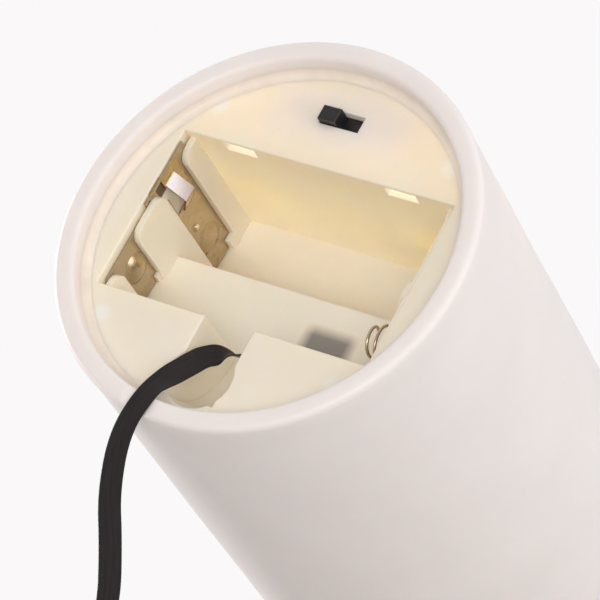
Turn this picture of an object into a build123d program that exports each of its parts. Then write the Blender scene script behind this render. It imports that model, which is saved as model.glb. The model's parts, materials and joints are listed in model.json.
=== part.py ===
from build123d import *
import os
from math import radians, tan

# Flameless LED candle, in millimetres: +Z up the candle, origin at the centre of the rim it stands on.
# The cells lie along X, the pull ribbon leaves towards +Y and the switch is on the -Y side.

# Wax shell
candle_diameter = 76.0
candle_height = 152.0
wax_wall = 3.8
rim_outer_round = 1.5
rim_inner_round = 1.2
base_recess = 4.6
top_rim_width = 8.0
top_dish_depth = 9.0
top_dish_slope = 7.0
top_deck = 7.0
top_round = 4.5

# Cells and the bay that holds them
cell_diameter = 14.5
cell_length = 50.5
bay_end_room = 4.5
single_row_width = 15.0
double_row_width = 16.8
cell_depth_room = 0.5
plate_thickness = 1.6
bay_wall = 1.5
bay_edge_round = 0.4
housing_clearance = 0.3
latch_width = 6.3
latch_height = 2.4
latch_spacing = 32.8
latch_below_face = 0.8

# Contacts and their springs
sheet = 0.4
pocket_clearance = 0.05
plate_setback = 0.5
plate_positive_setback = 1.7
post_thickness = 1.2
post_round = 2.4
side_post_setback = 2.0
middle_post_setback = 1.3
left_middle_post = (-3.8, 5.6)
left_side_posts = (4.5, 3.9)
right_middle_post = (-2.4, 3.4)
right_side_posts = (3.4, 2.5)
double_stop = (1.8, 2.6)
single_stop = (1.0, 1.8)
stop_thickness = 0.7
plate_double = (-13.8, -0.4)
plate_single = (2.0, 14.6)
plate_tip_gap = 0.2
plate_notch = (1.2, 2.0)
dome_radius = 3.0
dome_height = 1.3
flat_dome_height = 0.6
pip_radius = 0.9
pip_height = 0.6
pip_place = (1.2, 9.7)
leaf_width = 3.0
leaf_rise = 2.6
leaf_foot_rise = 0.6
leaf_half_length = 4.0
leaf_off_axis = 0.6
leaf_narrow_room = 0.3
leaf_wide_room = 1.1
leaf_corner_room = (2.4, 1.8)
locating_hole_radius = 0.4
locating_hole_inset = (0.9, 0.8)
lance_slot = (1.3, 0.4)
lance_slot_place = (-4.8, 5.6)
spring_wire = 0.55
spring_base_radius = 4.3
spring_tip_radius = 2.35
spring_length = 5.9
spring_turns = 2.6
tab_width = 2.0
tab_reach = 3.0
tab_above_axis = 4.0
tab_room = 0.2

# Finger scoop and the pull ribbon
notch_width = 10.0
scoop_radius = 15.0
scoop_wall = 1.2
dish_radius = 6.0
dish_centre_y = 26.4
ribbon_width = 4.0
ribbon_thickness = 0.3
ribbon_relief_depth = 0.5
ribbon_side_room = 0.5
slit_room = 0.35
rib_length = 5.0
rib_thickness = 1.2
# The ribbon's middle line, from its glued inner end, through the slit, over the rim and along the table.
ribbon_route = [
    (12.0, 19.2, 8.6),
    (2.8, 19.3, 8.4),
    (-2.4, 21.5, 7.2),
    (-2.8, 25.4, 4.4),
    (-3.7, 29.9, 1.6),
    (-4.6, 33.4, 0.15),
    (-5.3, 41.7, 0.15),
    (-1.4, 52.1, 0.15),
    (3.7, 60.0, 0.15),
    (9.5, 70.4, 0.15),
    (12.2, 83.5, 0.15),
    (18.6, 95.5, 0.15),
]
ribbon_drop_points = 6

# Slide switch
switch_y = -25.5
switch_travel = 4.0
knob_length = 3.6
knob_width = 2.8
knob_proud = 1.5
slot_clearance = 0.2
switch_case_length = 12.7
switch_case_width = 6.6
switch_case_depth = 5.5
switch_stand_off = 2.0
switch_boss_radius = 1.6
switch_boss_room = 0.6
shoulder_half_width = 2.3
shoulder_thickness = 1.0
slider_half_width = 2.6
slider_half_length = 3.0
ear_half_width = 2.0
insulator_thickness = 1.0
pin_spacing = 4.0
pin_length = 3.6
small_screw_radius = 0.9
small_screw_head = 1.8
screw_head_height = 1.2

# Circuit board over the single row
board_length = 42.0
board_width = 12.4
board_thickness = 1.2
board_height = 4.9
board_screw_spacing = 36.0
board_boss_radius = 2.2
chip_size = (9.2, 6.4, 3.4)
chip_x = 9.6
chip_stand_off = 0.5
leg_pitch = 2.2
capacitor_x = -11.0
capacitor_radius = 2.5
capacitor_height = 7.0
resistor_offset = -2.0
resistor_span = 9.4
lead_radius = 0.3
transistor_x = 2.0
transistor_offset = 2.6
transistor_radius = 2.2
transistor_top = 6.4

# Light mast and flame
mast_radius = 6.0
mast_bore = 4.4
mast_seat_height = 6.0
mast_screw_spacing = 30.0
mast_flange_thickness = 2.0
mast_ear = (3.5, 4.0)
mast_boss_radius = 3.0
mast_clearance = 0.2
mast_proud = 0.6
wire_gap = (2.4, 9.0)
holder_depth = 8.0
led_seat_depth = 1.4
led_radius = 2.5
led_flange_radius = 2.9
led_height = 8.6
led_lead_length = 16.0
led_lead_spacing = 2.54
square_lead = 0.5
flame_height = 24.0
flame_radius = 6.2
wire_radius = 0.6
wire_touch = 0.05

# Worked out
outer_r = candle_diameter / 2
bore_r = outer_r - wax_wall
face_z = base_recess
plate_top = face_z + plate_thickness
bay_half = (cell_length + bay_end_room) / 2
bay_y0 = -(single_row_width + double_row_width) / 2
bay_y1 = -bay_y0
step_y = bay_y1 - single_row_width
single_floor = face_z + cell_diameter + cell_depth_room
double_floor = face_z + 2 * cell_diameter + cell_depth_room
single_roof = single_floor + bay_wall
double_roof = double_floor + bay_wall
single_axis = (step_y + single_row_width / 2, single_floor - cell_diameter / 2 - cell_depth_room / 2)
double_y = (bay_y0 + step_y) / 2
near_axis = (double_y, face_z + cell_diameter / 2 + cell_depth_room / 2)
far_axis = (double_y, double_floor - cell_diameter / 2)
pocket = sheet + 2 * pocket_clearance
contact_x = -bay_half + pocket_clearance + sheet
mast_seat_z = double_roof + mast_seat_height
deck_z = candle_height - top_dish_depth
mast_top = deck_z + mast_proud
board_z = single_roof + board_height
board_top = board_z + board_thickness
board_y = step_y + bay_wall + 0.8 + board_width / 2
switch_can_z = plate_top + switch_stand_off
switch_back_z = switch_can_z + switch_case_depth
slot_half = (knob_length + switch_travel) / 2 + slot_clearance
shoulder_half = slot_half + switch_travel / 2
switch_screw_x = switch_travel / 2 + shoulder_half + switch_boss_room + switch_boss_radius


def block(x0, x1, y0, y1, z0, z1):
    """A box between two corners."""
    return Pos((x0 + x1) / 2, (y0 + y1) / 2, (z0 + z1) / 2) * Box(x1 - x0, y1 - y0, z1 - z0)


def rod(x, y, z0, z1, radius):
    """An upright round bar."""
    return Pos(x, y, (z0 + z1) / 2) * Cylinder(radius, z1 - z0)


def corner_radii(points):
    """One radius for each corner of a route: 0.45 of its shorter run over the tangent of half the turn."""
    radii = []
    for a, b, c in zip(points, points[1:], points[2:]):
        run_in = Vector(*b) - Vector(*a)
        run_out = Vector(*c) - Vector(*b)
        half_turn = radians(run_in.get_angle(run_out)) / 2
        radii.append(0.45 * min(run_in.length, run_out.length) / tan(half_turn))
    return radii


def wire(*points):
    """A round insulated wire along straight runs and tangent arcs."""
    path = FilletPolyline(*points, radius=corner_radii(points))
    return sweep(Plane(path @ 0, z_dir=path % 0) * Circle(wire_radius), path=path)


def bay_space():
    """The air inside the battery bay: the single row and the deeper double row."""
    single = block(-bay_half, bay_half, step_y, bay_y1, face_z, single_floor)
    double = block(-bay_half, bay_half, bay_y0, step_y, face_z, double_floor)
    return single + double


def post(y0, y1, setback, round_low, round_high):
    """A retaining post in front of the contacts at the -X end, rounded where its top meets a gap."""
    top, bottom = face_z + setback, double_floor
    outline = Pos((y0 + y1) / 2, (top + bottom) / 2) * Rectangle(y1 - y0, bottom - top)
    corners = outline.vertices().filter_by(lambda v: v.Y < top + 0.01)
    chosen = [v for v in corners if (round_low and v.X < y0 + 0.01) or (round_high and v.X > y1 - 0.01)]
    outline = fillet(chosen, post_round)
    start = contact_x + pocket_clearance
    return extrude(Plane.YZ.offset(start) * outline, post_thickness)


def posts(side_posts, middle_post):
    """The three posts that trap one end's plates: one beside each row and one between them."""
    made = post(bay_y0, bay_y0 + side_posts[0], side_post_setback, False, True)
    made += post(*middle_post, middle_post_setback, True, True)
    made += post(bay_y1 - side_posts[1], bay_y1, side_post_setback, True, False)
    return made & bay_space()


def stops():
    """The small stops beside the deep ends of the -X contact plates."""
    x0 = contact_x + pocket_clearance
    low_gap = bay_y0 + left_side_posts[0]
    single_gap = left_middle_post[1]
    width, height = double_stop
    made = block(x0, x0 + post_thickness, low_gap, low_gap + width, double_floor - height, double_floor)
    width, height = single_stop
    x1, y1 = x0 + stop_thickness, single_gap + width
    return made + block(x0, x1, single_gap, y1, single_floor - height, single_floor)


def scoop_tool(grow):
    """The finger scoop: a quarter round up from the single row's floor, with a dish at its outer end."""
    half = notch_width / 2 + grow
    quarter = Pos(0, bay_y1, face_z) * Rot(0, 90, 0) * Cylinder(scoop_radius + grow, 2 * half)
    quarter &= block(-half, half, bay_y1 - 2 * bay_wall, outer_r, face_z, single_roof)
    dish = Pos(0, dish_centre_y, face_z + 0.4) * Sphere(dish_radius + grow)
    dish &= block(-outer_r, outer_r, 0, outer_r, face_z, single_roof)
    return quarter + dish


def housing_outside():
    """Plate, bay box and scoop before they are hollowed."""
    radius = bore_r - housing_clearance
    wall_x = bay_half + bay_wall
    body = rod(0, 0, face_z, plate_top, radius)
    body += block(-wall_x, wall_x, step_y - bay_wall, bay_y1 + bay_wall, face_z, single_roof)
    body += block(-wall_x, wall_x, bay_y0 - bay_wall, step_y + bay_wall, face_z, double_roof)
    body += scoop_tool(scoop_wall)
    return body & rod(0, 0, face_z, double_roof, radius)


def battery_housing():
    """Base plate moulded in one with the battery bay, its posts, scoop, bosses and openings."""
    body = housing_outside() - bay_space() - scoop_tool(0)
    mouth = body.faces().filter_by(Axis.Z).sort_by(Axis.Z)[0]
    body = fillet(mouth.inner_wires()[0].edges(), bay_edge_round)
    body += posts(left_side_posts, left_middle_post) + stops()
    body += mirror(posts(right_side_posts, right_middle_post), about=Plane.YZ)
    slot_y = knob_width / 2 + slot_clearance
    body -= block(-slot_half, slot_half, switch_y - slot_y, switch_y + slot_y, face_z, plate_top)
    for side in (-1, 1):
        x0 = side * latch_spacing / 2 - latch_width / 2
        z = face_z + latch_below_face
        body -= block(x0, x0 + latch_width, bay_y0 - bay_wall, bay_y0, z, z + latch_height)
        body += boss(side * switch_screw_x, switch_y, plate_top, switch_stand_off, switch_boss_radius)
        body += boss(side * board_screw_spacing / 2, board_y, single_roof, board_height, board_boss_radius)
        x = side * mast_screw_spacing / 2
        body += boss(x, double_y, double_roof, mast_seat_height, mast_boss_radius)
    body += ribbon_rib()
    body -= ribbon_slit()
    for axis, side in ((single_axis, -1), (far_axis, 1)):
        body -= tab_slot(axis, side)
    return body


def boss(x, y, z, height, radius):
    """A screw boss with its blind pilot hole."""
    return rod(x, y, z, z + height, radius) - rod(x, y, z + 0.4, z + height, small_screw_radius - 0.15)


def ribbon_rib():
    """The rib on the plate's inner face that the ribbon's inner end is glued to."""
    x, y, z = ribbon_route[0]
    y += ribbon_thickness / 2
    return block(x + 0.5 - rib_length, x + 0.5, y, y + rib_thickness, plate_top, z + ribbon_width / 2)


def ribbon_slit():
    """The upright slit in the notch's +X wall that the ribbon comes through."""
    _, y, z = ribbon_route[0]
    half_y = ribbon_thickness / 2 + slit_room
    half_z = ribbon_width / 2 + slit_room
    wall = notch_width / 2
    return block(wall - 0.5, wall + scoop_wall + 0.1, y - half_y, y + half_y, z - half_z, z + half_z)


def tab_slot(axis, side):
    """The hole in an end wall that a contact's solder tab passes through."""
    y, z = axis
    half = tab_width / 2 + tab_room
    z += tab_above_axis
    x0, x1 = sorted((side * (bay_half - 0.1), side * (bay_half + bay_wall + 0.1)))
    return block(x0, x1, y - half, y + half, z - tab_room, z + sheet + tab_room)


def contact_plate(y_range, z0, z1):
    """A flat contact plate at the -X end, with a notched deep end."""
    back = -bay_half + pocket_clearance
    plate = block(back, back + sheet, *y_range, z0, z1)
    y = y_range[1]
    width, height = plate_notch
    return plate - block(back, back + sheet, y - width, y, z1 - height, z1)


def dome(axis, radius, height):
    """A pressed dimple standing from a contact plate towards +X."""
    y, z = axis
    side = 0.35 * height
    outline = Polyline((0, radius), (-sheet / 2, radius), (-sheet / 2, 0), (height, 0))
    outline += ThreePointArc((height, 0), (height - side, 0.55 * radius), (0, radius))
    return Pos(contact_x, y, z) * revolve(make_face(outline), Axis.X)


def solder_tab(axis):
    """The tab that leaves a contact through the end wall at -X."""
    y, z = axis
    z += tab_above_axis
    half = tab_width / 2
    return block(-bay_half - tab_reach, -bay_half + pocket_clearance, y - half, y + half, z, z + sheet)


def leaf(axis):
    """A bent leaf spring on a contact plate: it rises to a ridge on the cell's axis and returns."""
    y, z = axis
    x = contact_x - sheet / 2
    ridge = z - leaf_off_axis
    low, high = ridge - leaf_half_length, ridge + leaf_half_length
    line = Polyline((x, low), (x + leaf_rise, ridge), (x + leaf_foot_rise, high))
    strip = Plane.XZ * trace(line, sheet)
    return Pos(0, y + leaf_width / 2, 0) * extrude(strip, leaf_width)


def leaf_window(axis):
    """The window that the leaf is cut from, wider than the leaf on its +Y side, most of all at its root."""
    y, z = axis
    ridge = z - leaf_off_axis
    low, high = ridge - leaf_half_length, ridge + leaf_half_length
    x0, x1 = -bay_half, contact_x + 0.1
    y0, y1 = y - leaf_width / 2, y + leaf_width / 2
    made = block(x0, x1, y0 - leaf_narrow_room, y1 + leaf_wide_room, low + 0.6, high)
    reach, up = leaf_corner_room
    return made + block(x0, x1, y1 + leaf_narrow_room, y1 + reach, low - up, low + 3.0)


def contact_left_link():
    """Links the near double-row cell's minus end (leaf) to the far cell's plus end (dome)."""
    made = contact_plate(plate_double, face_z + plate_setback, double_floor - plate_tip_gap)
    made -= leaf_window(near_axis)
    made += leaf(near_axis)
    made += dome(far_axis, dome_radius, flat_dome_height)
    y, z = near_axis
    made += dome((y + pip_place[0], z + pip_place[1]), pip_radius, pip_height)
    inset_y, inset_z = locating_hole_inset
    hole = Pos(contact_x - sheet / 2, plate_double[1] - inset_y, face_z + plate_setback + inset_z)
    made -= hole * Rot(0, 90, 0) * Cylinder(locating_hole_radius, 2 * sheet)
    y1, up = lance_slot_place
    z0 = double_floor - up
    return made - block(-bay_half, contact_x, y1 - lance_slot[0], y1, z0, z0 + lance_slot[1])


def contact_left_positive():
    """The battery's plus end: the dome for the single-row cell, with its solder tab."""
    made = contact_plate(plate_single, face_z + plate_positive_setback, single_floor - plate_tip_gap)
    return made + dome(single_axis, dome_radius, dome_height) + solder_tab(single_axis)


def contact_right_link():
    """Links the near double-row cell's plus end (dome) to the single-row cell's minus end (spring)."""
    y_range = (plate_double[0], plate_single[1])
    made = contact_plate(y_range, face_z + plate_setback, single_floor - plate_tip_gap)
    return mirror(made + dome(near_axis, dome_radius, dome_height), about=Plane.YZ)


def contact_right_negative():
    """The battery's minus end: the plate behind the far cell's spring, with its solder tab."""
    made = contact_plate(plate_double, single_floor + 0.4, double_floor - plate_tip_gap)
    return mirror(made + solder_tab(far_axis), about=Plane.YZ)


def cone_spring(axis):
    """A conical coil spring standing from the +X contact plate towards the cell."""
    y, z = axis
    start = -contact_x - spring_wire / 2 - 0.05
    rise = spring_length - spring_wire
    pitch = rise / spring_turns
    lean = Vector(0, 0, 1).get_angle(Vector(spring_base_radius - spring_tip_radius, 0, rise))
    path = Helix(pitch, rise, spring_base_radius, cone_angle=-lean)
    coil = sweep(Plane(path @ 0, z_dir=path % 0) * Circle(spring_wire / 2), path=path, is_frenet=True)
    return Pos(start, y, z) * Rot(0, -90, 0) * coil


def switch_case():
    """The folded metal can of the slide switch, with an ear for a screw at each end."""
    z0 = switch_can_z
    half, side = switch_case_length / 2, switch_case_width / 2
    case = block(-half, half, switch_y - side, switch_y + side, z0, switch_back_z)
    ear = switch_screw_x + ear_half_width
    case += block(-ear, ear, switch_y - ear_half_width, switch_y + ear_half_width, z0, z0 + sheet)
    half, side = half - sheet, side - sheet
    case -= block(-half, half, switch_y - side, switch_y + side, z0 + sheet, switch_back_z)
    side = knob_width / 2 + slot_clearance
    case -= block(-slot_half, slot_half, switch_y - side, switch_y + side, z0, z0 + sheet)
    for x in (-switch_screw_x, switch_screw_x):
        case -= rod(x, switch_y, z0, z0 + sheet, small_screw_radius + 0.1)
    return case


def switch_knob():
    """The slide knob at the -X end of its travel, with the shoulder that closes the slot and its slider."""
    x = -switch_travel / 2
    y0, y1 = switch_y - knob_width / 2, switch_y + knob_width / 2
    half = knob_length / 2
    grip = block(x - half, x + half, y0, y1, face_z - knob_proud, switch_can_z + 2.4)
    grip = fillet(grip.faces().sort_by(Axis.Z)[0].edges(), 0.35)
    y0, y1 = switch_y - shoulder_half_width, switch_y + shoulder_half_width
    z0 = plate_top + slot_clearance
    flat = block(x - shoulder_half, x + shoulder_half, y0, y1, z0, z0 + shoulder_thickness)
    y0, y1 = switch_y - slider_half_width, switch_y + slider_half_width
    z0 = switch_can_z + sheet + slot_clearance
    half = slider_half_length
    return grip + flat + block(x - half, x + half, y0, y1, z0, switch_can_z + 3.0)


def switch_insulator():
    """The insulating board that closes the back of the switch can."""
    half, side = switch_case_length / 2 - sheet, switch_case_width / 2 - sheet
    z1 = switch_back_z
    return block(-half, half, switch_y - side, switch_y + side, z1 - insulator_thickness, z1)


def separate(pieces):
    """Pieces of one node, kept as separate solids."""
    return Compound(children=[Solid(piece.solid().wrapped) for piece in pieces])


def switch_terminals():
    """The three solder pins of the switch."""
    y0, y1 = switch_y - square_lead / 2, switch_y + square_lead / 2
    z0, z1 = switch_back_z, switch_back_z + pin_length
    places = (-pin_spacing, 0.0, pin_spacing)
    return separate([block(x - 0.5, x + 0.5, y0, y1, z0, z1) for x in places])


def screw(x, y, seat, length):
    """A small pan-head self-tapping screw pointing down, its head on the seat."""
    top = seat + screw_head_height
    head = rod(x, y, seat, top, small_screw_head)
    head = fillet(head.edges().sort_by(Axis.Z)[-1], 0.4)
    cross = block(x - 1.1, x + 1.1, y - 0.2, y + 0.2, top - 0.6, top)
    cross += block(x - 0.2, x + 0.2, y - 1.1, y + 1.1, top - 0.6, top)
    return head - cross + rod(x, y, seat - length, seat, small_screw_radius - 0.2)


def screw_pair(spacing, y, seat, length):
    """Two like screws."""
    return separate([screw(side * spacing / 2, y, seat, length) for side in (-1, 1)])


def circuit_board():
    """The board on its bosses over the single row, with its screw holes."""
    half_x, half_y = board_length / 2, board_width / 2
    board = block(-half_x, half_x, board_y - half_y, board_y + half_y, board_z, board_top)
    for side in (-1, 1):
        board -= rod(side * board_screw_spacing / 2, board_y, board_z, board_top, small_screw_radius + 0.1)
    return board


def timer_chip():
    """The eight-pin chip on the board's lower side, close above the bay."""
    length, width, height = chip_size
    x0, y0 = chip_x - length / 2, board_y - width / 2
    z1 = board_z - chip_stand_off
    z0 = z1 - height
    return block(x0, x0 + length, y0, y0 + width, z0, z1) - rod(x0, board_y, z0, z0 + 0.5, 0.8)


def chip_legs():
    """The chip's eight legs, standing in the board."""
    width, height = chip_size[1:]
    half = square_lead / 2
    made = []
    for side in (-1, 1):
        y0, y1 = sorted((board_y + side * width / 2, board_y + side * (width / 2 + 0.4)))
        for place in (-1.5, -0.5, 0.5, 1.5):
            x = chip_x + place * leg_pitch
            made.append(block(x - half, x + half, y0, y1, board_z - height + 1.0, board_z))
    return separate(made)


def capacitor():
    """The round electrolytic capacitor standing on the board."""
    can = rod(capacitor_x, board_y, board_top, board_top + capacitor_height, capacitor_radius)
    return fillet(can.edges().sort_by(Axis.Z)[-1], 0.5)


def resistor():
    """The LED's axial resistor, lying on the board with its two bent leads."""
    y, z = board_y + resistor_offset, board_top + 1.3
    made = Pos(0, y, z) * Rot(0, 90, 0) * Cylinder(1.1, 6.0)
    made += Pos(0, y, z) * Rot(0, 90, 0) * Cylinder(lead_radius, resistor_span)
    for side in (-1, 1):
        made += rod(side * resistor_span / 2, y, board_top, z + lead_radius, lead_radius)
    return made


def transistor():
    """The flicker transistor, a small half-round package on three legs."""
    x, y = transistor_x, board_y + transistor_offset
    radius = transistor_radius
    z0, z1 = board_top + 2.0, board_top + transistor_top
    body = rod(x, y, z0, z1, radius) & block(x - radius, x + radius, y - 1.3, y + radius, z0, z1)
    for leg in (x - 1.3, x, x + 1.3):
        body += block(leg - 0.2, leg + 0.2, y - 0.2, y + 0.2, board_top, z0)
    return body


def light_mast():
    """The hollow post that carries the LED up through the wax, on a screwed flange."""
    z0, z1 = mast_seat_z, mast_seat_z + mast_flange_thickness
    place = mast_screw_spacing / 2
    ear_x, ear_y = mast_ear
    flange = block(-place - ear_x, place + ear_x, double_y - ear_y, double_y + ear_y, z0, z1)
    flange += block(-mast_radius, mast_radius, double_y, 0, z0, z1)
    mast = flange + rod(0, 0, z0, mast_top, mast_radius)
    mast -= rod(0, 0, z0, mast_top, mast_bore)
    half, height = wire_gap
    mast -= block(-half, half, 0, mast_radius + 1, z0, z0 + height)
    for side in (-1, 1):
        mast -= rod(side * place, double_y, z0, z1, small_screw_radius + 0.1)
    return mast


def led_holder():
    """The plug in the mast's top that grips the LED's flange."""
    body = rod(0, 0, mast_top - holder_depth, mast_top, mast_bore - 0.05)
    body -= rod(0, 0, mast_top - led_seat_depth, mast_top, led_flange_radius + 0.1)
    return body - rod(0, 0, mast_top - holder_depth, mast_top, led_radius - 0.5)


def led():
    """The domed 5 mm warm-white LED."""
    z0 = mast_top - led_seat_depth
    dome_z = z0 + led_height - led_radius
    body = rod(0, 0, z0, z0 + 1.0, led_flange_radius) + rod(0, 0, z0, dome_z, led_radius)
    return body + Pos(0, 0, dome_z) * Sphere(led_radius)


def led_leads():
    """The LED's two straight leads."""
    z1 = mast_top - led_seat_depth
    half = square_lead / 2
    places = (-led_lead_spacing / 2, led_lead_spacing / 2)
    return separate([block(x - half, x + half, -half, half, z1 - led_lead_length, z1) for x in places])


def flame_tip():
    """The translucent flame that stands on the mast, hollow over the LED."""
    z0 = mast_top
    tip = z0 + flame_height
    foot = mast_radius - 0.2
    outline = Polyline((0, tip), (0, z0), (foot, z0))
    belly = (flame_radius, z0 + 0.26 * flame_height)
    shoulder = (flame_radius / 2, z0 + 0.7 * flame_height)
    side = Spline((foot, z0), belly, shoulder, (0, tip))
    body = revolve(make_face(Plane.XZ * (outline + side)), Axis.Z)
    return body - rod(0, 0, z0, z0 + led_height + 0.4, led_flange_radius + 0.2)


def wax_shell():
    """The hollow wax pillar: rim, wall and a deck with a dished top and a hole for the mast."""
    dish_edge = outer_r - top_rim_width
    hole = mast_radius + mast_clearance
    outline = Polyline(
        (bore_r, 0),
        (outer_r, 0),
        (outer_r, candle_height),
        (dish_edge, candle_height),
        (dish_edge - top_dish_slope, deck_z),
        (hole, deck_z),
        (hole, deck_z - top_deck),
        (bore_r, deck_z - top_deck),
        close=True,
    )
    half = make_face(outline)
    rounds = {
        (bore_r, 0): rim_inner_round,
        (outer_r, 0): rim_outer_round,
        (outer_r, candle_height): top_round,
        (dish_edge, candle_height): top_round / 2,
        (dish_edge - top_dish_slope, deck_z): top_round,
    }
    for (r, z), radius in rounds.items():
        corner = half.vertices().sort_by_distance((r, z, 0))[0]
        half = fillet(corner, radius)
    shell = revolve(Plane.XZ * half, Axis.Z)
    crossing = [ribbon_x(bore_r), ribbon_x(outer_r)]
    relief = ribbon_width / 2 + ribbon_side_room
    x0, x1 = min(crossing) - relief, max(crossing) + relief
    return shell - block(x0, x1, bore_r - 6, outer_r + 1, 0, ribbon_relief_depth)


def ribbon_x(y):
    """Where the ribbon's straight runs pass that y, past the slit."""
    runs = zip(ribbon_route[1:], ribbon_route[2:])
    a, b = next((a, b) for a, b in runs if a[1] <= y <= b[1])
    return a[0] + (b[0] - a[0]) * (y - a[1]) / (b[1] - a[1])


def pull_ribbon():
    """The flat ribbon: an upright strip through the slit, then a level band that follows the route."""
    free = ribbon_route[1:]
    plan = [(x, y) for x, y, _ in free]
    plan_line = FilletPolyline(*plan, radius=corner_radii([(x, y, 0) for x, y in plan]))
    band = extrude(trace(plan_line, ribbon_width), 12)
    side = [(y, z) for _, y, z in free]
    drop = side[:ribbon_drop_points]
    first = Vector(*drop[0]) * 2 - Vector(*drop[1])
    drop[0] = (first.X, first.Y)
    side_line = FilletPolyline(*drop, radius=corner_radii([(y, z, 0) for y, z in drop]))
    side_line += Line(drop[-1], (side[-1][0] + 4, side[-1][1]))
    level = extrude(Plane.YZ * trace(side_line, ribbon_thickness), 40, both=True)
    x, y, z = ribbon_route[0]
    half = ribbon_thickness / 2
    strip = block(free[0][0] - 0.6, x, y - half, y + half, z - ribbon_width / 2, z + ribbon_width / 2)
    return (band & level) + strip


def wires():
    """The hidden wires: battery to switch, switch to board, battery minus to board, and the LED's pair."""
    plus_y, plus_z = single_axis
    minus_y, minus_z = far_axis
    tab_up = tab_above_axis + sheet + 2 * wire_touch
    pin_z = switch_back_z + pin_length + wire_touch
    over = double_roof + 3.0
    left = -bay_half - tab_reach + wire_radius
    top = board_top + wire_touch
    lead_z = mast_top - led_seat_depth - led_lead_length - wire_touch
    lead_x = led_lead_spacing / 2
    return {
        "wire_battery_to_switch": wire(
            (left, plus_y, plus_z + tab_up),
            (left, plus_y - 3, over),
            (-25.0, 0, over + 0.6),
            (-14.0, bay_y0 - 3, over - 1),
            (-pin_spacing - 0.6, switch_y, pin_z + 5),
            (-pin_spacing, switch_y, pin_z),
        ),
        "wire_switch_to_board": wire(
            (0.0, switch_y, pin_z),
            (0.6, switch_y + 1, pin_z + 6),
            (-8.0, bay_y0 - 2, over),
            (-9.0, 0.0, over + 0.4),
            (-7.0, board_y, over - 2),
            (-6.6, board_y + 1, top),
        ),
        "wire_battery_to_board": wire(
            (-left, minus_y, minus_z + tab_up),
            (-left, minus_y + 2, over),
            (25.0, 2.0, over + 0.6),
            (15.4, board_y - 2, over - 3),
            (15.0, board_y + 3, top + 3),
            (15.0, board_y + 3.2, top),
        ),
        "wire_led_red": wire(
            (-1.4, board_y + 2, top),
            (-1.5, board_y, mast_seat_z - 3),
            (-1.5, 1.0, mast_seat_z + 8),
            (-1.3, 0.2, mast_seat_z + 22),
            (-lead_x, 0.0, lead_z),
        ),
        "wire_led_black": wire(
            (7.4, board_y - 3.0, top),
            (6.0, board_y - 2.4, mast_seat_z - 6),
            (1.7, board_y - 2.6, mast_seat_z + 2),
            (1.5, 1.0, mast_seat_z + 8),
            (1.3, -0.2, mast_seat_z + 22),
            (lead_x, 0.0, lead_z),
        ),
    }


parts = {
    "wax_shell": wax_shell(),
    "battery_housing": battery_housing(),
    "contact_left_link": contact_left_link(),
    "contact_left_positive": contact_left_positive(),
    "contact_right_link": contact_right_link(),
    "contact_right_negative": contact_right_negative(),
    "spring_single_cell": cone_spring(single_axis),
    "spring_far_cell": cone_spring(far_axis),
    "switch_case": switch_case(),
    "switch_insulator": switch_insulator(),
    "switch_terminals": switch_terminals(),
    "switch_knob": switch_knob(),
    "switch_screws": screw_pair(2 * switch_screw_x, switch_y, switch_can_z + sheet, 1.9),
    "circuit_board": circuit_board(),
    "board_screws": screw_pair(board_screw_spacing, board_y, board_top, 5.2),
    "timer_chip": timer_chip(),
    "chip_legs": chip_legs(),
    "capacitor": capacitor(),
    "resistor": resistor(),
    "transistor": transistor(),
    "light_mast": light_mast(),
    "mast_screws": screw_pair(mast_screw_spacing, double_y, mast_seat_z + mast_flange_thickness, 6.4),
    "led_holder": led_holder(),
    "led": led(),
    "led_leads": led_leads(),
    "flame_tip": flame_tip(),
    "pull_ribbon": pull_ribbon(),
}
parts.update(wires())

os.makedirs("parts", exist_ok=True)
for name, shape in parts.items():
    export_step(shape, f"parts/{name}.step")
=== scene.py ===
import json
from math import cos, hypot, pi, radians, sin

import bmesh
import bpy
from mathutils import Matrix, Vector, noise


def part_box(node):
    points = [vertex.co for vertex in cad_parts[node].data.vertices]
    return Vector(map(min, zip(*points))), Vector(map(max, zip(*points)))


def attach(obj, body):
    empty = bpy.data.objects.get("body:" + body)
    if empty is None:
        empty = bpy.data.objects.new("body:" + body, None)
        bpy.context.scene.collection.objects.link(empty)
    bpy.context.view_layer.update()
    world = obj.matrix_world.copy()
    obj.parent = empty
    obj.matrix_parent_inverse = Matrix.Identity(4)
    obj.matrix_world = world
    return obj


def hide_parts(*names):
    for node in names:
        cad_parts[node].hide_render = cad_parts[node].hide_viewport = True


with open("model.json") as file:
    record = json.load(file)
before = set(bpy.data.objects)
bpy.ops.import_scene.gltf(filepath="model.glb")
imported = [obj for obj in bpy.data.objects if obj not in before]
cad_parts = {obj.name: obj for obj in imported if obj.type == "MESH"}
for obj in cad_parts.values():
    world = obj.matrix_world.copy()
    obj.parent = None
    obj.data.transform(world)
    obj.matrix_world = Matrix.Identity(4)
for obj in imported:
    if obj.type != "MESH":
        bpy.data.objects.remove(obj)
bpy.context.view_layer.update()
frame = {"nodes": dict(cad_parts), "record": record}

MM = 0.001
NODES = frame["nodes"]

# The frame's places that the Blender pieces follow.
SHELL_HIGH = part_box("wax_shell")[1]
FLAME_LOW, FLAME_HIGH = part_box("flame_tip")
RADIUS = SHELL_HIGH.x
HEIGHT = SHELL_HIGH.z
FACE_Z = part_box("battery_housing")[0].z

# ---------------------------------------------------------------- camera

# Fitted to the ellipse of the rim and the two straight sides of the body in the photograph.
CAMERA_RIGHT = Vector((0.82537, -0.45546, 0.33364))
CAMERA_UP = Vector((-0.25215, -0.82611, -0.50395))
CAMERA_BACK = Vector((0.50515, 0.33182, -0.79669))
CAMERA_PLACE = Vector((0.29905, 0.19815, -0.45119))
CAMERA_LENS = 208.26
SENSOR_WIDTH = 36.0


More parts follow.
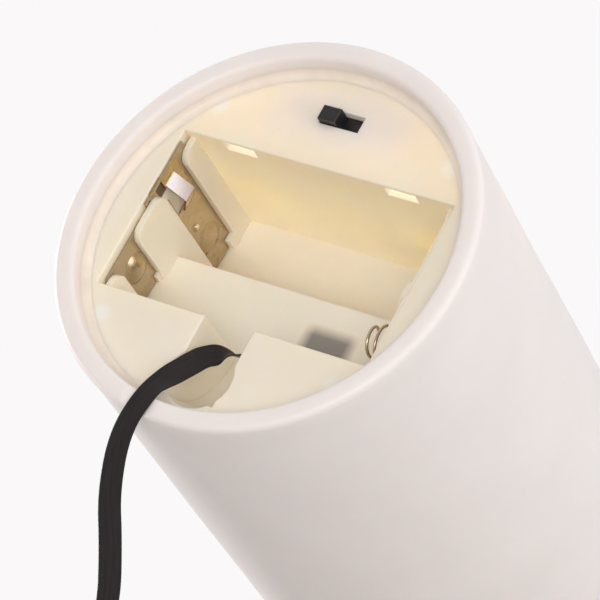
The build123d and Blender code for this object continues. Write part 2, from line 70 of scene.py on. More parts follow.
def make_camera():
    data = bpy.data.cameras.new("camera")
    data.lens = CAMERA_LENS
    data.sensor_width = SENSOR_WIDTH
    data.clip_start, data.clip_end = 0.01, 20.0
    camera = bpy.data.objects.new("camera", data)
    bpy.context.scene.collection.objects.link(camera)
    axes = Matrix((CAMERA_RIGHT, CAMERA_UP, CAMERA_BACK)).transposed()
    camera.matrix_world = Matrix.Translation(CAMERA_PLACE) @ axes.to_4x4()
    bpy.context.scene.camera = camera


make_camera()

# ---------------------------------------------------------------- node helpers


def new_material(name, **sockets):
    """A Principled material with the named sockets set; returns (material, its node tree, the shader)."""
    made = bpy.data.materials.new(name)
    made.use_nodes = True
    tree = made.node_tree
    shader = tree.nodes["Principled BSDF"]
    for key, value in sockets.items():
        socket = shader.inputs[key.replace("_", " ")]
        socket.default_value = (*value, 1.0) if socket.type == "RGBA" else value
    return made, tree, shader


def add(tree, kind, **values):
    """A node of that kind; values name its properties, or its inputs where it has no such property."""
    node = tree.nodes.new(kind)
    for key, value in values.items():
        if hasattr(node, key):
            setattr(node, key, value)
        else:
            node.inputs[key.replace("_", " ")].default_value = value
    return node


def place_of(tree):
    """The surface point in the row frame, in metres."""
    return add(tree, "ShaderNodeTexCoord").outputs["Object"]


def axes_of(tree, vector):
    """A vector's X, Y and Z."""
    split = add(tree, "ShaderNodeSeparateXYZ")
    tree.links.new(vector, split.inputs["Vector"])
    return split.outputs


def noise_of(tree, scale, detail=3.0, rough=0.55, vector=None):
    node = add(tree, "ShaderNodeTexNoise", Scale=scale, Detail=detail, Roughness=rough)
    tree.links.new(vector or place_of(tree), node.inputs["Vector"])
    return node.outputs["Fac"]


def stretched_noise(tree, stretch, detail, rough, vector=None):
    """Noise whose scale differs along the three axes."""
    mapping = add(tree, "ShaderNodeMapping", Scale=stretch)
    tree.links.new(vector or place_of(tree), mapping.inputs["Vector"])
    return noise_of(tree, 1.0, detail, rough, mapping.outputs["Vector"])


def ramp(tree, factor, stops):
    """A colour ramp over stops of (position, colour)."""
    node = add(tree, "ShaderNodeValToRGB")
    elements = node.color_ramp.elements
    while len(elements) < len(stops):
        elements.new(0.5)
    for element, (position, colour) in zip(elements, stops):
        element.position = position
        element.color = (*colour, 1.0)
    tree.links.new(factor, node.inputs["Fac"])
    return node.outputs["Color"]


def mottled(tree, factor, first, second):
    """A colour that wanders between two with a noise."""
    return ramp(tree, factor, [(0.3, first), (0.7, second)])


def blend_colours(tree, factor, first, second):
    """Mix two colours, each a socket or a tuple, by a factor socket."""
    node = add(tree, "ShaderNodeMix", data_type="RGBA")
    inputs = {socket.identifier: socket for socket in node.inputs}
    for identifier, value in (("Factor_Float", factor), ("A_Color", first), ("B_Color", second)):
        if isinstance(value, tuple):
            inputs[identifier].default_value = (*value, 1.0)
        else:
            tree.links.new(value, inputs[identifier])
    return next(socket for socket in node.outputs if socket.identifier == "Result_Color")


def maths(tree, operation, first, second=None):
    """A Math node on one or two values, each a socket or a number."""
    node = add(tree, "ShaderNodeMath", operation=operation)
    for socket, value in zip(node.inputs, (first, second)):
        if isinstance(value, (int, float)):
            socket.default_value = value
        elif value is not None:
            tree.links.new(value, socket)
    return node.outputs["Value"]


def scaled(tree, socket, source, target):
    """Map a value from one range (low, high) to another, clamped."""
    node = add(tree, "ShaderNodeMapRange")
    for key, value in zip(("From Min", "From Max", "To Min", "To Max"), (*source, *target)):
        node.inputs[key].default_value = value
    tree.links.new(socket, node.inputs["Value"])
    return node.outputs["Result"]


def bump(tree, shader, height, depth, strength):
    node = add(tree, "ShaderNodeBump", Strength=strength, Distance=depth)
    tree.links.new(height, node.inputs["Height"])
    tree.links.new(node.outputs["Normal"], shader.inputs["Normal"])


def near_point(tree, centre, radius, soft):
    """1 within radius of a point, falling to 0 over soft."""
    node = add(tree, "ShaderNodeVectorMath", operation="DISTANCE")
    tree.links.new(place_of(tree), node.inputs[0])
    node.inputs[1].default_value = centre
    return scaled(tree, node.outputs["Value"], (radius, radius + soft), (1.0, 0.0))


def soft_box(tree, box, soft):
    """1 inside an upright box of two corners, falling to 0 over a soft border outside it."""
    place = axes_of(tree, place_of(tree))
    inside = None
    for axis, low, high in zip("XYZ", *box):
        rising = scaled(tree, place[axis], (low - soft, low), (0.0, 1.0))
        falling = scaled(tree, place[axis], (high, high + soft), (1.0, 0.0))
        both = maths(tree, "MULTIPLY", rising, falling)
        inside = both if inside is None else maths(tree, "MULTIPLY", inside, both)
    return inside


def box_of(low, high):
    """The two corners of a box given in millimetres."""
    return Vector(low) * MM, Vector(high) * MM


# ---------------------------------------------------------------- materials

# Sink marks over the bosses behind the base plate, (x, y) in millimetres, and their radius.
MARKS = [(-23.5, -22.2), (-23.4, 21.2), (23.5, -22.2), (23.4, 21.2)]
MARK_RADIUS = 0.9 * MM

# Painted light: the plastic is painted a little lighter inside the bay than on the face, from one height to
# the other, for light bounced about the bay, and yellower round the bay's mouth as painted warm bounce light.
PAINTED_LIGHT_FROM = (FACE_Z + 0.3 * MM, FACE_Z + 6.0 * MM)
BAY_MOUTH = box_of((-27.5, -15.9, 4.0), (27.5, 15.9, 10.0))

# Painted shade where the switch and the chip show through: how far towards the face they show, and how much
# smaller the chip looks.
SWITCH_DEPTH = 6.0 * MM
CHIP_DEPTH = 4.0 * MM
CHIP_INSET = 1.2 * MM

# Painted shade on the end wall behind the leaf's root, which the photo shows dark.
SHADE_BEHIND_LEAF = box_of((-28.5, -5.8, 5.2), (-27.4, -2.6, 8.6))

# Tints over the plastic, painted light and shade all but the sink marks: strength, width of the soft border,
# colour.
# Painted grey shade where the switch shows through.
SWITCH_SHADE_TINT = (0.45, 4.0 * MM, (0.88, 0.84, 0.83))
# Painted warm bounce light round the bay's mouth.
MOUTH_WARM_LIGHT_TINT = (0.3, 3.0 * MM, (0.98, 0.87, 0.64))
MARK_TINT = (0.75, 1.4 * MM, (0.97, 0.93, 0.88))
# Painted shade behind the leaf's root.
SHADE_BEHIND_LEAF_TINT = (1.0, 0.4 * MM, (0.16, 0.11, 0.06))
# Painted dark shade where the chip shows through.
CHIP_SHADE_TINT = (0.8, 2.2 * MM, (0.15, 0.15, 0.155))

# Painted highlights and reflections on the contacts: the leaf, its lower arm and the pressed pip.
PAINTED_METAL_HIGHLIGHTS = [
    (box_of((-26.8, -9.0, 7.6), (-23.0, -6.0, 11.4)), (0.53, 0.49, 0.51)),
    (box_of((-26.8, -8.7, 12.0), (-23.0, -6.3, 15.0)), (0.95, 0.86, 0.62)),
    (box_of((-27.0, -6.7, 21.3), (-24.0, -6.0, 21.9)), (0.97, 0.95, 0.93)),
]

# Painted over: the cut edges of the plates at the spring end take a cream plastic colour and no metal, so
# that they show no dark metal edge.
CREAM_PAINT_OVER_EDGES = box_of((26.9, -17.0, 4.0), (29.0, 17.0, 5.6))
EDGE_PAINT_COLOUR = (0.93, 0.84, 0.68)
METAL_BORDER = 0.2 * MM

# The ribbon's weave: the spacing of its ribs and of its lengthways threads.
RIB_SPACING = 0.4 * MM
THREAD_SPACING = 0.35 * MM


def wax_material():
    """Smooth translucent wax with a faint mottle and uneven gloss."""
    made, tree, shader = new_material(
        "wax",
        Roughness=0.45,
        IOR=1.44,
        Subsurface_Weight=0.5,
        Subsurface_Scale=0.0025,
        Subsurface_Radius=(1.0, 0.85, 0.75),
    )
    mottle = noise_of(tree, scale=55.0, detail=4.0)
    colour = mottled(tree, mottle, (0.885, 0.845, 0.83), (0.92, 0.88, 0.865))
    tree.links.new(colour, shader.inputs["Base Color"])
    gloss = scaled(tree, noise_of(tree, scale=180.0), (0.3, 0.7), (0.38, 0.52))
    tree.links.new(gloss, shader.inputs["Roughness"])
    fine = noise_of(tree, scale=900.0, detail=2.0)
    broad = noise_of(tree, scale=90.0)
    both = maths(tree, "ADD", maths(tree, "MULTIPLY", fine, 0.25), broad)
    bump(tree, shader, both, depth=0.0002, strength=0.4)
    return made


def tinted_box(tree, colour, box, tint):
    """A colour with a tint over it inside a box."""
    strength, soft, over = tint
    return blend_colours(tree, maths(tree, "MULTIPLY", soft_box(tree, box, soft), strength), colour, over)


def with_marks(tree, colour):
    """A colour with the sink marks over it."""
    strength, soft, over = MARK_TINT
    for x, y in MARKS:
        mark = near_point(tree, (x * MM, y * MM, FACE_Z), MARK_RADIUS, soft)
        colour = blend_colours(tree, maths(tree, "MULTIPLY", mark, strength), colour, over)
    return colour


def cream_colour(tree):
    """The housing's colour, with painted light inside the bay, painted shade behind the leaf's root, and
    painted shade where the switch and the chip close behind the milky plastic show through faintly.
    """
    mottle = noise_of(tree, scale=120.0)
    outer = mottled(tree, mottle, (0.94, 0.84, 0.70), (0.96, 0.865, 0.735))
    # Painted light: the colour inside the bay is lighter, for light bounced about the bay.
    inner = mottled(tree, mottle, (0.965, 0.885, 0.74), (0.985, 0.905, 0.775))
    depth = scaled(tree, axes_of(tree, place_of(tree))["Z"], PAINTED_LIGHT_FROM, (0.0, 1.0))
    colour = blend_colours(tree, depth, outer, inner)
    can_low, can_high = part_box("switch_case")
    can = (can_low - Vector((0, 0, SWITCH_DEPTH)), can_high)
    colour = tinted_box(tree, colour, can, SWITCH_SHADE_TINT)
    colour = tinted_box(tree, colour, BAY_MOUTH, MOUTH_WARM_LIGHT_TINT)
    colour = with_marks(tree, colour)
    colour = tinted_box(tree, colour, SHADE_BEHIND_LEAF, SHADE_BEHIND_LEAF_TINT)
    chip_low, chip_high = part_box("timer_chip")
    inset = Vector((CHIP_INSET, CHIP_INSET, 0.0))
    chip = (chip_low + inset - Vector((0, 0, CHIP_DEPTH)), chip_high - inset)
    return tinted_box(tree, colour, chip, CHIP_SHADE_TINT)


def cream_material():
    """The moulded housing: thin milky plastic."""
    made, tree, shader = new_material(
        "cream_plastic",
        Roughness=0.38,
        IOR=1.5,
        Subsurface_Weight=0.65,
        Subsurface_Scale=0.0018,
        Subsurface_Radius=(1.0, 0.85, 0.6),
    )
    tree.links.new(cream_colour(tree), shader.inputs["Base Color"])
    bump(tree, shader, noise_of(tree, scale=2500.0, detail=2.0), depth=0.00002, strength=0.3)
    return made


def metal_material(name, colour, dark, rough, grain=(40.0, 40.0, 2500.0), painted_highlights=(), cream_cover=None):
    """Plated sheet or wire, brushed and stained, with painted highlights in places; inside an optional box it
    is painted as cream plastic.
    """
    made, tree, shader = new_material(name, Metallic=1.0, Roughness=rough)
    brushed = stretched_noise(tree, grain, 4.0, 0.6)
    stain = noise_of(tree, scale=320.0, detail=4.0)
    tint = ramp(tree, stain, [(0.3, dark), (0.6, colour)])
    # Painted highlights and reflections over the metal's colour.
    for box, highlight_colour in painted_highlights:
        tint = blend_colours(tree, soft_box(tree, box, METAL_BORDER), tint, highlight_colour)
    # Painted cream plastic, with no metal, over the plates' edges.
    if cream_cover:
        covered = soft_box(tree, cream_cover, METAL_BORDER)
        tint = blend_colours(tree, covered, tint, EDGE_PAINT_COLOUR)
        tree.links.new(maths(tree, "SUBTRACT", 1.0, covered), shader.inputs["Metallic"])
    tree.links.new(tint, shader.inputs["Base Color"])
    both = maths(tree, "ADD", stain, brushed)
    gloss = scaled(tree, both, (0.6, 1.4), (rough - 0.03, rough + 0.04))
    tree.links.new(gloss, shader.inputs["Roughness"])
    bump(tree, shader, brushed, depth=0.000002, strength=0.2)
    return made


def plastic_material(name, colour, rough, texture=1800.0, depth=0.00002, **sockets):
    """Moulded plastic with a fine texture and slight colour variation."""
    made, tree, shader = new_material(name, Roughness=rough, **sockets)
    low = tuple(0.9 * c for c in colour)
    tree.links.new(mottled(tree, noise_of(tree, scale=200.0), low, colour), shader.inputs["Base Color"])
    gloss = scaled(tree, noise_of(tree, scale=500.0), (0.3, 0.7), (rough - 0.05, rough + 0.06))
    tree.links.new(gloss, shader.inputs["Roughness"])
    bump(tree, shader, noise_of(tree, texture, detail=2.0), depth, strength=0.4)
    return made


def board_material():
    """Phenolic paper board: brown and fibrous."""
    made, tree, shader = new_material("brown_board", Roughness=0.5)
    fibre = stretched_noise(tree, (300.0, 1500.0, 300.0), 5.0, 0.65)
    colour = mottled(tree, fibre, (0.20, 0.10, 0.035), (0.33, 0.19, 0.075))
    tree.links.new(colour, shader.inputs["Base Color"])
    bump(tree, shader, fibre, depth=0.00003, strength=0.4)
    return made


def ribbon_material():
    """Black satin: faint ribs across and streaks along it; u runs across and v along, in metres."""
    made, tree, shader = new_material(
        "ribbon",
        Roughness=0.55,
        Specular_IOR_Level=0.3,
        Sheen_Weight=0.12,
        Sheen_Roughness=0.4,
        Sheen_Tint=(0.9, 0.85, 0.88),
    )
    uv = add(tree, "ShaderNodeTexCoord").outputs["UV"]
    place = axes_of(tree, uv)
    ribs = maths(tree, "SINE", maths(tree, "MULTIPLY", place["Y"], 2 * pi / RIB_SPACING))
    threads = maths(tree, "SINE", maths(tree, "MULTIPLY", place["X"], 2 * pi / THREAD_SPACING))
    weave = maths(tree, "ADD", ribs, maths(tree, "MULTIPLY", threads, 0.7))
    streak = stretched_noise(tree, (2200.0, 120.0, 1.0), 3.0, 0.5, uv)
    colour = ramp(tree, streak, [(0.25, (0.010, 0.007, 0.008)), (0.75, (0.022, 0.018, 0.020))])
    tree.links.new(colour, shader.inputs["Base Color"])
    tree.links.new(scaled(tree, streak, (0.25, 0.75), (0.48, 0.6)), shader.inputs["Roughness"])
    bump(tree, shader, weave, depth=0.00001, strength=0.25)
    return made


def flame_material():
    """Milky translucent flame, deeper amber at its foot."""
    made, tree, shader = new_material(
        "flame",
        Roughness=0.3,
        IOR=1.49,
        Subsurface_Weight=0.8,
        Subsurface_Scale=0.006,
        Subsurface_Radius=(1.0, 0.7, 0.35),
    )
    place = axes_of(tree, place_of(tree))
    height = scaled(tree, place["Z"], (FLAME_LOW.z, FLAME_HIGH.z), (0.0, 1.0))
    wavy = maths(tree, "ADD", height, maths(tree, "MULTIPLY", noise_of(tree, scale=160.0), 0.15))
    stops = [(0.05, (0.80, 0.50, 0.22)), (0.35, (0.90, 0.74, 0.48)), (0.9, (0.93, 0.87, 0.74))]
    tree.links.new(ramp(tree, wavy, stops), shader.inputs["Base Color"])
    bump(tree, shader, noise_of(tree, scale=300.0), depth=0.0001, strength=0.4)
    return made


def contact_material():
    """The plated sheet of the contacts, with its painted highlights and the cream paint over its edges."""
    # Painted reflection: the sheet is tinted tan for the cream plastic it reflects; the plating itself is
    # greyer.
    light, dark = (0.53, 0.43, 0.29), (0.49, 0.39, 0.26)
    return metal_material("plated_steel", light, dark, 0.26, painted_highlights=PAINTED_METAL_HIGHLIGHTS, cream_cover=CREAM_PAINT_OVER_EDGES)


def spring_material():
    """Spring wire, without the sheet's lengthways brushing."""
    light, dark = (0.66, 0.55, 0.44), (0.52, 0.43, 0.33)
    return metal_material("spring_wire", light, dark, 0.3, grain=(900.0, 900.0, 900.0))


def lens_material():
    """The LED's clear warm body."""
    return plastic_material("led_lens", (0.95, 0.92, 0.78), 0.08, Transmission_Weight=0.85, IOR=1.5)


MATERIALS = {
    "wax": wax_material(),
    "wax_bead": plastic_material("wax_bead", (0.95, 0.865, 0.76), 0.45, 300.0, 0.00005),
    "cream_plastic": cream_material(),
    "plated_steel": contact_material(),
    "spring_wire": spring_material(),
    "switch_can": metal_material("switch_can", (0.66, 0.66, 0.65), (0.50, 0.50, 0.49), 0.35),
    "screw_steel": metal_material("screw_steel", (0.70, 0.70, 0.71), (0.52, 0.52, 0.53), 0.3),
    "brown_board": board_material(),
    "black_plastic": plastic_material("black_plastic", (0.018, 0.018, 0.02), 0.38),
    "capacitor_sleeve": plastic_material("capacitor_sleeve", (0.02, 0.022, 0.05), 0.25),
    "resistor_body": plastic_material("resistor_body", (0.62, 0.45, 0.25), 0.35),
    "white_plastic": plastic_material("white_plastic", (0.80, 0.80, 0.77), 0.45),
    "led_lens": lens_material(),
    "flame": flame_material(),
    "ribbon": ribbon_material(),
    "red_wire": plastic_material("red_wire", (0.50, 0.02, 0.015), 0.4),
    "black_wire": plastic_material("black_wire", (0.02, 0.02, 0.02), 0.4),
}


def dress_cad_nodes():
    """Each CAD node takes the material of its own slot."""
    for part in frame["record"]["subparts"]:
        mesh = NODES[part["node"]].data
        mesh.materials.clear()
        mesh.materials.append(MATERIALS[part["material_slot"]])


dress_cad_nodes()

# ---------------------------------------------------------------- piece helpers


def finish_mesh(bm, name, crease=None):
    """A smooth mesh with outward normals; edges bent by more than crease stay sharp."""
    bmesh.ops.recalc_face_normals(bm, faces=bm.faces)
    for face in bm.faces:
        face.smooth = True
    if crease:
        for edge in bm.edges:
            edge.smooth = edge.calc_face_angle(0.0) < crease
    mesh = bpy.data.meshes.new(name)
    bm.to_mesh(mesh)
    bm.free()
    return mesh


def join_rings(bm, ring, following):
    """Faces between two closed rings of as many vertices."""
    count = len(ring)
    for k in range(count):
        n = (k + 1) % count
        bm.faces.new((ring[k], following[k], following[n], ring[n]))


def new_piece(name, mesh, material):
    """An object of its own that rides on the candle; its slot is the material's name."""
    piece = bpy.data.objects.new(name, mesh)
    bpy.context.scene.collection.objects.link(piece)
    mesh.materials.append(MATERIALS[material])
    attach(piece, "candle")
    return piece


def ease(low, high, value):
    """0 below low, 1 above high, smooth between."""
    t = min(1.0, max(0.0, (value - low) / (high - low)))
    return t * t * (3 - 2 * t)


# ---------------------------------------------------------------- the pull ribbon

RIBBON_WIDTH = 4.0 * MM
RIBBON_THICKNESS = 0.26 * MM
# The CAD ribbon's route, in millimetres: glued inner end, slit, scoop, rim and table.
RIBBON_ROUTE = [
    (12.0, 19.2, 8.6),
    (2.8, 19.3, 8.4),
    (-2.4, 21.5, 7.2),
    (-2.8, 25.4, 4.4),
    (-3.7, 29.9, 1.6),
    (-4.6, 33.4, 0.15),
    (-5.3, 41.7, 0.15),
    (-1.4, 52.1, 0.15),
    (3.7, 60.0, 0.15),
    (9.5, 70.4, 0.15),
    (12.2, 83.5, 0.15),
    (18.6, 95.5, 0.15),
]
RIBBON_CROSSING = -4.85 * MM
# How far the ribbon has turned from upright, at lengths along it: (millimetres, degrees). 90 is level.
RIBBON_TURNS = [
    (0.0, 0.0),
    (7.0, 0.0),
    (9.4, 19.0),
    (14.0, 100.0),
    (17.5, 126.0),
    (21.5, 120.0),
    (27.5, 90.0),
]
# The ribbon's section, from edge to edge: (share of half the width, share of half the thickness).
RIBBON_PROFILE = [
    (-1.0, 0.45),
    (-0.93, 1.0),
    (-0.8, 0.8),
    (-0.4, 0.78),
    (0.0, 0.78),
    (0.4, 0.78),
    (0.8, 0.8),
    (0.93, 1.0),
    (1.0, 0.45),
]


def spline_points(route):
    """Points along the smooth NURBS line through a route, read from a curve with no bevel."""
    data = bpy.data.curves.new("route", "CURVE")
    data.dimensions = "3D"
    data.resolution_u = 16
    line = data.splines.new("NURBS")
    line.points.add(len(route) - 1)
    for point, place in zip(line.points, route):
        point.co = (*(MM * c for c in place), 1.0)
    line.order_u = 3
    line.use_endpoint_u = True
    holder = bpy.data.objects.new("route", data)
    mesh = bpy.data.meshes.new_from_object(holder)
    points = [v.co.copy() for v in mesh.vertices]
    bpy.data.objects.remove(holder)
    bpy.data.curves.remove(data)
    bpy.data.meshes.remove(mesh)
    return points


def ribbon_turn(length):
    """The ribbon's turn about its own line, in radians, at a length along it."""
    turn = RIBBON_TURNS[0][1]
    for (start, _), (end, degrees) in zip(RIBBON_TURNS, RIBBON_TURNS[1:]):
        turn += (degrees - turn) * ease(start * MM, end * MM, length)
        if length < end * MM:
            break
    return radians(turn)


def lengths_along(points):
    total = [0.0]
    for a, b in zip(points, points[1:]):
        total.append(total[-1] + (b - a).length)
    return total


def ribbon_section():
    """(across, up) of the ribbon's outline: thin, with slightly thicker woven edges."""
    half, thick = RIBBON_WIDTH / 2, RIBBON_THICKNESS / 2
    upper = [(half * u, thick * h) for u, h in RIBBON_PROFILE]
    lower = [(-across, -up) for across, up in upper]
    return upper + lower


def ribbon_axes(points, i, length):
    """The directions across the ribbon and out of its face, at one of its points."""
    before, after = points[max(i - 1, 0)], points[min(i + 1, len(points) - 1)]
    ahead = (after - before).normalized()
    level = ahead.cross(Vector((0, 0, 1))).normalized()
    upright = (Vector((0, 0, 1)) - ahead * ahead.z).normalized()
    turn = ribbon_turn(length)
    across = upright * cos(turn) - level * sin(turn)
    return across, ahead.cross(across).normalized()


def ribbon_mesh(points, along):
    section = ribbon_section()
    count = len(section)
    bm = bmesh.new()
    uv_layer = bm.loops.layers.uv.new("UVMap")
    rings = []
    for i, (point, length) in enumerate(zip(points, along)):
        across, up = ribbon_axes(points, i, length)
        rings.append([bm.verts.new(point + across * u + up * h) for u, h in section])
    for i in range(len(rings) - 1):
        for k in range(count):
            n = (k + 1) % count
            corners = ((i, k), (i, n), (i + 1, n), (i + 1, k))
            face = bm.faces.new([rings[ring][place] for ring, place in corners])
            for loop, (ring, place) in zip(face.loops, corners):
                loop[uv_layer].uv = (section[place][0], along[ring])
    bm.faces.new(list(reversed(rings[0])))
    bm.faces.new(rings[-1])
    return finish_mesh(bm, "pull_ribbon_satin")


def make_ribbon():
    """The ribbon on edge in its slit, turning as it climbs out of the scoop, then lying on the table."""
    points = spline_points(RIBBON_ROUTE)
    along = lengths_along(points)
    piece = new_piece("pull_ribbon_satin", ribbon_mesh(points, along), "ribbon")
    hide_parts("pull_ribbon")


make_ribbon()

# ---------------------------------------------------------------- the wax

WAX_TURNS = 320
LONGEST_STEP = 2.5 * MM
WAX_WALL = 3.8 * MM
BORE = RADIUS - WAX_WALL
HOLE = 6.2 * MM
DECK = HEIGHT - 9.0 * MM
DECK_UNDER = DECK - 7.0 * MM
BORE_FOOT = FACE_Z - 0.3 * MM
# The melted top: where the dish starts and meets the deck, how far the wax has sunk, and over what height.
LIP = RADIUS - 8.0 * MM
DISH = RADIUS - 14.0 * MM
MELT_SINK = 0.9 * MM
MELT_HEIGHT = 16.0 * MM
# The wax stays this far inside the CAD shell, and wanders by this much broadly and finely.
SKIN_INSET = 0.15 * MM
BROAD_WANDER = 0.14 * MM
FINE_WANDER = 0.06 * MM
# The relief in the rim that the ribbon passes through.
RELIEF_HALF = 2.5 * MM
RELIEF_EDGE = 0.5 * MM
RELIEF_DEPTH = 0.5 * MM
# A bead of wax seals the base plate to the bore, except across the scoop's mouth.
BEAD = 1.4 * MM
BEAD_ENDS = (radians(103.0), radians(437.0))
BEAD_TAPER = 4.0 * MM
BEAD_CREASE = radians(40.0)


def round_corner(before, corner, after, radius, steps=6):
    """Points that replace a corner of an outline by an even bend of that radius."""
    a, c, b = Vector(before), Vector(corner), Vector(after)
    start = c + (a - c).normalized() * radius
    end = c + (b - c).normalized() * radius
    ways = [i / steps for i in range(steps + 1)]
    return [tuple(start * (1 - t) ** 2 + c * 2 * t * (1 - t) + end * t ** 2) for t in ways]


def fill_runs(points, longest):
    """Extra points on long straight runs, so that the surface can be uneven."""
    filled = [points[0]]
    for (r0, z0), (r1, z1) in zip(points, points[1:]):
        steps = max(1, int(hypot(r1 - r0, z1 - z0) / longest))
        filled += [(r0 + (r1 - r0) * i / steps, z0 + (z1 - z0) * i / steps) for i in range(1, steps + 1)]
    return filled


def wax_outline():
    """(radius, height) around the wax's section: rim, outside, melted top, dish, deck and bore."""
    corners = [
        ((BORE, BORE_FOOT), 0.0),
        ((BORE, 0.0), 1.1 * MM),
        ((RADIUS, 0.0), 1.3 * MM),
        ((RADIUS, HEIGHT), 5.0 * MM),
        ((LIP, HEIGHT), 3.0 * MM),
        ((DISH, DECK), 5.0 * MM),
        ((HOLE, DECK), 0.6 * MM),
        ((HOLE, DECK_UNDER), 0.6 * MM),
        ((BORE, DECK_UNDER), 1.0 * MM),
        ((BORE, FACE_Z), 0.0),
    ]
    places = [corner for corner, _ in corners]
    points = [places[0]]
    for i in range(1, len(corners) - 1):
        points += round_corner(places[i - 1], places[i], places[i + 1], corners[i][1])
    points.append(places[-1])
    return fill_runs(points, LONGEST_STEP)


def wander(place):
    """The wax's hand-poured unevenness, in metres, at a point."""
    return FINE_WANDER * noise.noise(place * 90.0) + BROAD_WANDER * noise.noise(place * 28.0)


def wax_point(radius, height, angle):
    """A point of the wax, with its unevenness, its melted top edge and the ribbon's relief."""
    direction = Vector((cos(angle), sin(angle), 0))
    place = direction * radius + Vector((0, 0, height))
    outside = ease(BORE, RADIUS, radius) * ease(0.5 * MM, 6.0 * MM, height)
    place -= direction * (SKIN_INSET + wander(place)) * outside
    top = ease(HEIGHT - MELT_HEIGHT, HEIGHT, height) * ease(HOLE + 4.0 * MM, DISH + 2.0 * MM, radius)
    melt = 0.9 + noise.noise(Vector((3.2 * direction.x, 3.2 * direction.y, 7.0)))
    place.z -= top * melt * MELT_SINK
    if place.y > 0 and height < FACE_Z / 2:
        aside = abs(place.x - RIBBON_CROSSING)
        near = 1 - ease(RELIEF_HALF, RELIEF_HALF + RELIEF_EDGE, aside)
        place.z = max(place.z, near * RELIEF_DEPTH)
    return place


def make_wax():
    """The candle's body, lathed from its outline; it stands for the CAD shell."""
    outline = wax_outline()
    bm = bmesh.new()
    rings = []
    for i in range(WAX_TURNS):
        angle = 2 * pi * i / WAX_TURNS
        rings.append([bm.verts.new(wax_point(r, z, angle)) for r, z in outline])
    for ring, following in zip(rings, rings[1:] + rings[:1]):
        join_rings(bm, ring, following)
    piece = new_piece("wax_body", finish_mesh(bm, "wax_body"), "wax")
    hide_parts("wax_shell")


make_wax()


def bead_section(size):
    """(radius, height) around the bead's hollow-faced section in the corner between bore and base plate."""
    ways = [i / 8 for i in range(9)]
    face = [(BORE - size * (1 - t) ** 2, FACE_Z - size * t ** 2) for t in ways]
    back = [(BORE, FACE_Z - 0.02 * MM), (BORE - 0.1 * MM, FACE_Z - 0.01 * MM)]
    return face + back


def make_bead():
    """An open ring that stops either side of the scoop's mouth and thins out towards its ends."""
    bm = bmesh.new()
    rings = []
    start, end = BEAD_ENDS
    for i in range(WAX_TURNS + 1):
        angle = start + (end - start) * i / WAX_TURNS
        from_end = min(angle - start, end - angle) * BORE
        size = BEAD * (0.1 + 0.9 * ease(0.0, BEAD_TAPER, from_end))
        places = [(cos(angle) * r, sin(angle) * r, z) for r, z in bead_section(size)]
        rings.append([bm.verts.new(place) for place in places])
    for ring, following in zip(rings, rings[1:]):
        join_rings(bm, ring, following)
    bm.faces.new(rings[0])
    bm.faces.new(rings[-1])
    mesh = finish_mesh(bm, "wax_bead", BEAD_CREASE)
    new_piece("wax_bead", mesh, "wax_bead")


make_bead()

# ---------------------------------------------------------------- lights, world and floor

OBJECT_MIDDLE = Vector((0.0, 0.0, 0.03))
BACKGROUND = (0.956, 0.941, 0.947, 1.0)
# The world's strength and colour fade from its bright side to the side that DARK_SIDE points to.
DARK_SIDE = Vector((0.21, 0.78, -0.59))
WORLD_STRENGTHS = (0.85, 0.34)
WORLD_BRIGHT = (1.0, 0.99, 0.985)
WORLD_DARK = (1.0, 0.90, 0.85)
# Just under the rim, so that the two surfaces don't lie in one plane.
FLOOR_Z = -0.1 * MM
FLOOR_HALF = 3.0

LIGHT_DISTANCE = 1.1
SIDE = CAMERA_RIGHT * 0.8 + CAMERA_UP * 0.1 + CAMERA_BACK * 0.6
# Soft lights: name, direction from the object, size, strength and colour.
LIGHTS = [
    ("front_light", CAMERA_BACK, 0.5, 0.27, (1.0, 0.98, 0.97)),
    ("right_light", SIDE, 0.6, 0.22, (1.0, 0.99, 0.995)),
    ("base_light", Vector((0.1, 0.45, -0.9)), 0.5, 0.17, (1.0, 0.985, 0.97)),
    ("edge_light", Vector((-1.0, 0.0, 0.16)), 0.2, 0.8, (1.0, 0.985, 0.98)),
    ("far_light", Vector((0.45, -0.89, 0.05)), 0.4, 0.05, (1.0, 0.99, 0.99)),
]
GLOW_PLACES = [(-0.017, -0.0225, 0.022), (0.0, -0.0245, 0.022), (0.017, -0.0225, 0.022)]
GLOW_ENERGY = 0.0052
GLOW_COLOUR = (0.76, 0.8, 1.0)
GLOW_SIZE = 0.005
DIFFUSE_BOUNCES = 8


def make_light(name, towards, size, strength, colour):
    """A square soft light on the side that towards points to; strength is what it gives a white surface."""
    data = bpy.data.lights.new(name, "AREA")
    data.size = size
    data.energy = strength * (pi * LIGHT_DISTANCE) ** 2
    data.color = colour
    light = bpy.data.objects.new(name, data)
    bpy.context.scene.collection.objects.link(light)
    towards = towards.normalized()
    light.location = OBJECT_MIDDLE + towards * LIGHT_DISTANCE
    light.rotation_mode = "QUATERNION"
    light.rotation_quaternion = towards.to_track_quat("Z", "Y")


def make_glow(place):
    """Stands for the room light that wax lets into the hollow candle, seen through the latch windows."""
    data = bpy.data.lights.new("glow_light", "POINT")
    data.energy = GLOW_ENERGY
    data.color = GLOW_COLOUR
    data.shadow_soft_size = GLOW_SIZE
    light = bpy.data.objects.new("glow_light", data)
    bpy.context.scene.collection.objects.link(light)
    light.location = place


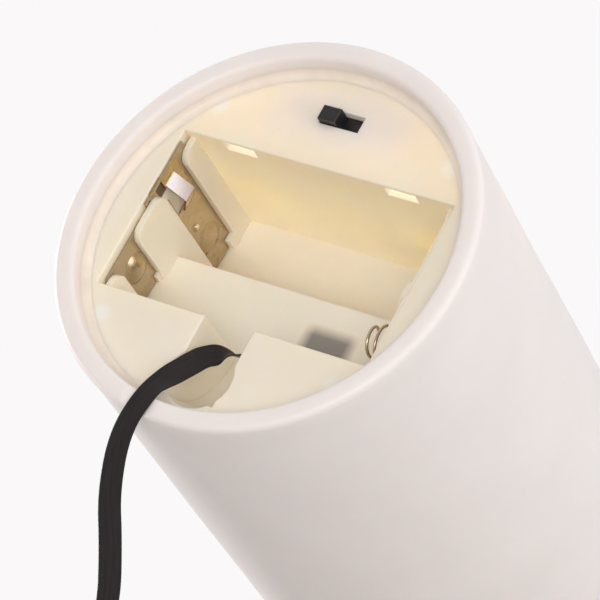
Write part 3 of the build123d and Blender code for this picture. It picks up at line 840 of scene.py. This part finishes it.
def make_world():
    """A pale world: the picture's background to the camera, and soft light that is stronger from one side."""
    world = bpy.data.worlds.new("world")
    bpy.context.scene.world = world
    world.use_nodes = True
    tree = world.node_tree
    back = tree.nodes["Background"]
    facing = add(tree, "ShaderNodeVectorMath", operation="DOT_PRODUCT")
    tree.links.new(add(tree, "ShaderNodeTexCoord").outputs["Generated"], facing.inputs[0])
    facing.inputs[1].default_value = DARK_SIDE
    strength = scaled(tree, facing.outputs["Value"], (-1.0, 1.0), WORLD_STRENGTHS)
    tree.links.new(strength, back.inputs["Strength"])
    turned = scaled(tree, facing.outputs["Value"], (-0.6, 0.8), (0.0, 1.0))
    tree.links.new(blend_colours(tree, turned, WORLD_BRIGHT, WORLD_DARK), back.inputs["Color"])
    seen = add(tree, "ShaderNodeBackground", Color=BACKGROUND, Strength=1.0)
    path = add(tree, "ShaderNodeLightPath")
    mix = add(tree, "ShaderNodeMixShader")
    tree.links.new(path.outputs["Is Camera Ray"], mix.inputs["Fac"])
    tree.links.new(back.outputs["Background"], mix.inputs[1])
    tree.links.new(seen.outputs["Background"], mix.inputs[2])
    tree.links.new(mix.outputs["Shader"], tree.nodes["World Output"].inputs["Surface"])


def floor_material():
    """Pale and solid from above, clear from below, where the main camera is."""
    made, tree, shader = new_material("floor", Base_Color=(0.86, 0.855, 0.85), Roughness=0.6)
    clear = add(tree, "ShaderNodeBsdfTransparent")
    side = add(tree, "ShaderNodeNewGeometry")
    mix = add(tree, "ShaderNodeMixShader")
    tree.links.new(side.outputs["Backfacing"], mix.inputs["Fac"])
    tree.links.new(shader.outputs["BSDF"], mix.inputs[1])
    tree.links.new(clear.outputs["BSDF"], mix.inputs[2])
    tree.links.new(mix.outputs["Shader"], tree.nodes["Material Output"].inputs["Surface"])
    return made


def make_floor():
    """A plain pale floor that only the camera sees, so that it doesn't shade the base."""
    mesh = bpy.data.meshes.new("floor")
    ends = ((-1, -1), (1, -1), (1, 1), (-1, 1))
    corners = [(FLOOR_HALF * x, FLOOR_HALF * y, FLOOR_Z) for x, y in ends]
    mesh.from_pydata(corners, [], [(0, 1, 2, 3)])
    mesh.materials.append(floor_material())
    floor = bpy.data.objects.new("floor", mesh)
    bpy.context.scene.collection.objects.link(floor)
    floor.visible_shadow = False
    floor.visible_diffuse = False
    floor.visible_glossy = False
    floor.visible_transmission = False


make_world()
make_floor()
for light in LIGHTS:
    make_light(*light)
for place in GLOW_PLACES:
    make_glow(place)

bpy.context.scene.view_settings.view_transform = "Standard"
bpy.context.scene.cycles.diffuse_bounces = DIFFUSE_BOUNCES
